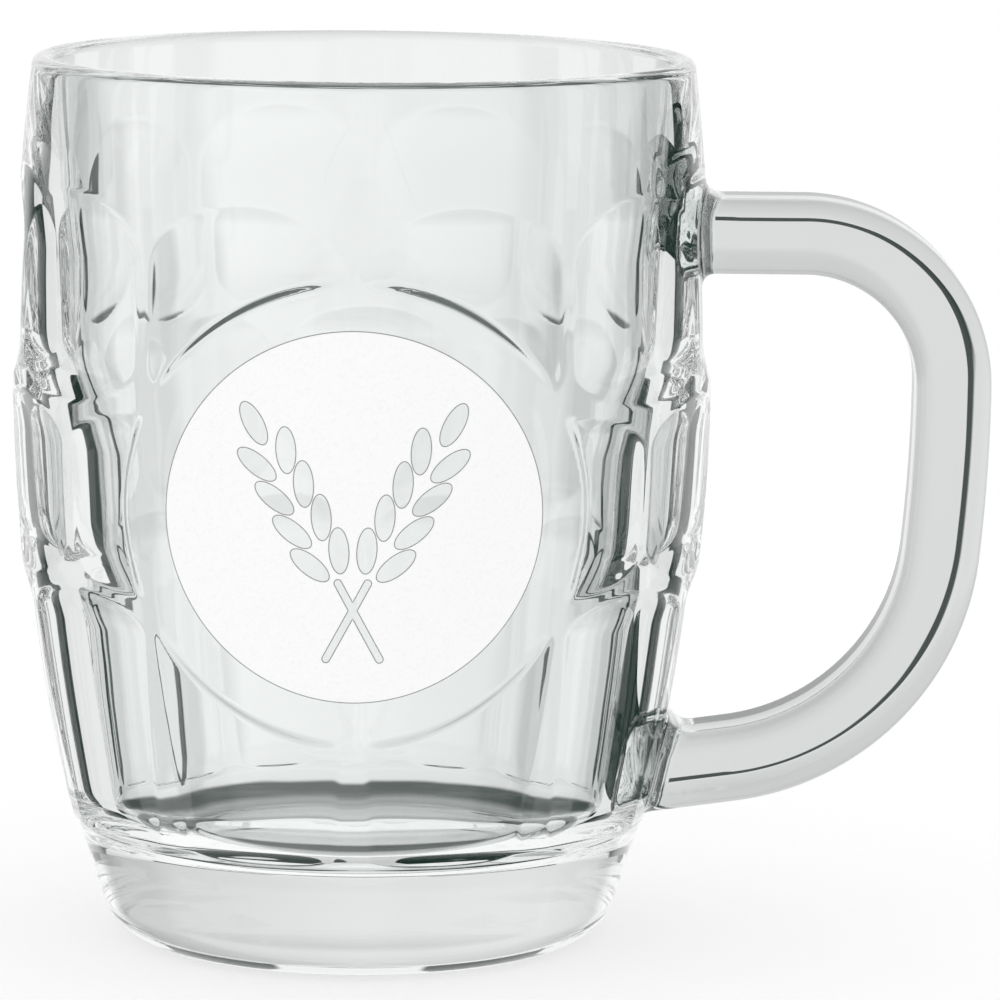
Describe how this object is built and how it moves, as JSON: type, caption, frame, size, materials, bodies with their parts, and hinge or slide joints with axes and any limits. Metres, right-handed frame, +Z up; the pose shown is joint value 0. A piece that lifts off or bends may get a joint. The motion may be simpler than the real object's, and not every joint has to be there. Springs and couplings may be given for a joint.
{
  "type": "dimpled glass beer mug",
  "caption": "Heavy pressed glass beer mug with staggered rows of dimples, a round front medallion with a white fired print, and a welded loop handle.",
  "frame": {"origin": "on the mug's upright axis, in the plane it stands on", "axes": "+X towards the handle, -Y towards the medallion, +Z up out of the mouth"},
  "size_m": [0.1432, 0.1025, 0.13],
  "materials": {
    "body_glass": "clear pressed soda-lime glass, fire polished",
    "handle_glass": "clear pressed soda-lime glass, fire polished",
    "print_enamel": "white fired enamel, matt"
  },
  "bodies": {
    "root": {"mug_body": "body_glass", "handle": "handle_glass", "medallion_print": "print_enamel"}
  },
  "joints": []
}
